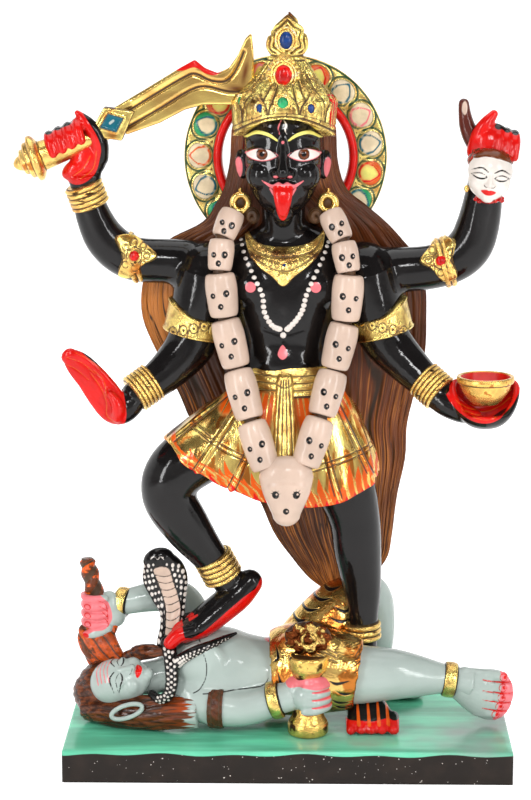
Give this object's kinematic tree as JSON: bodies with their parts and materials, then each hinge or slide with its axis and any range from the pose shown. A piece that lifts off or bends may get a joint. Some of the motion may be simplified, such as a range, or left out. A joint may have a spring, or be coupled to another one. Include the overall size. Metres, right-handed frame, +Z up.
{
  "type": "kali figure",
  "caption": "Painted marble figure of a many-armed goddess with sword, bowl and halo, standing on a lying god on a low rectangular plinth.",
  "frame": {"origin": "centre of the plinth's underside", "axes": "+Z up, front of the figure towards -Y, the sword side towards -X"},
  "size_m": [0.4078, 0.19, 0.609],
  "materials": {
    "marble": "painted marble",
    "black_paint": "gloss",
    "gold_leaf": "metallic leaf",
    "red_paint": "gloss",
    "mahogany_paint": "gloss",
    "hair_brown": "streaked gloss",
    "skull_ivory": "gloss",
    "pale_blue_skin": "gloss",
    "white_face": "gloss",
    "halo_paint": "leaf and gloss colours",
    "skirt_gold": "metallic leaf, orange hem",
    "tiger_skin": "metallic leaf, black stripes",
    "snake_paint": "gloss, white spots",
    "horn_paint": "gloss",
    "turquoise_paint": "gloss, brushed",
    "plinth_black": "satin"
  },
  "bodies": {
    "root": {"kali_figure": "marble"}
  },
  "joints": []
}
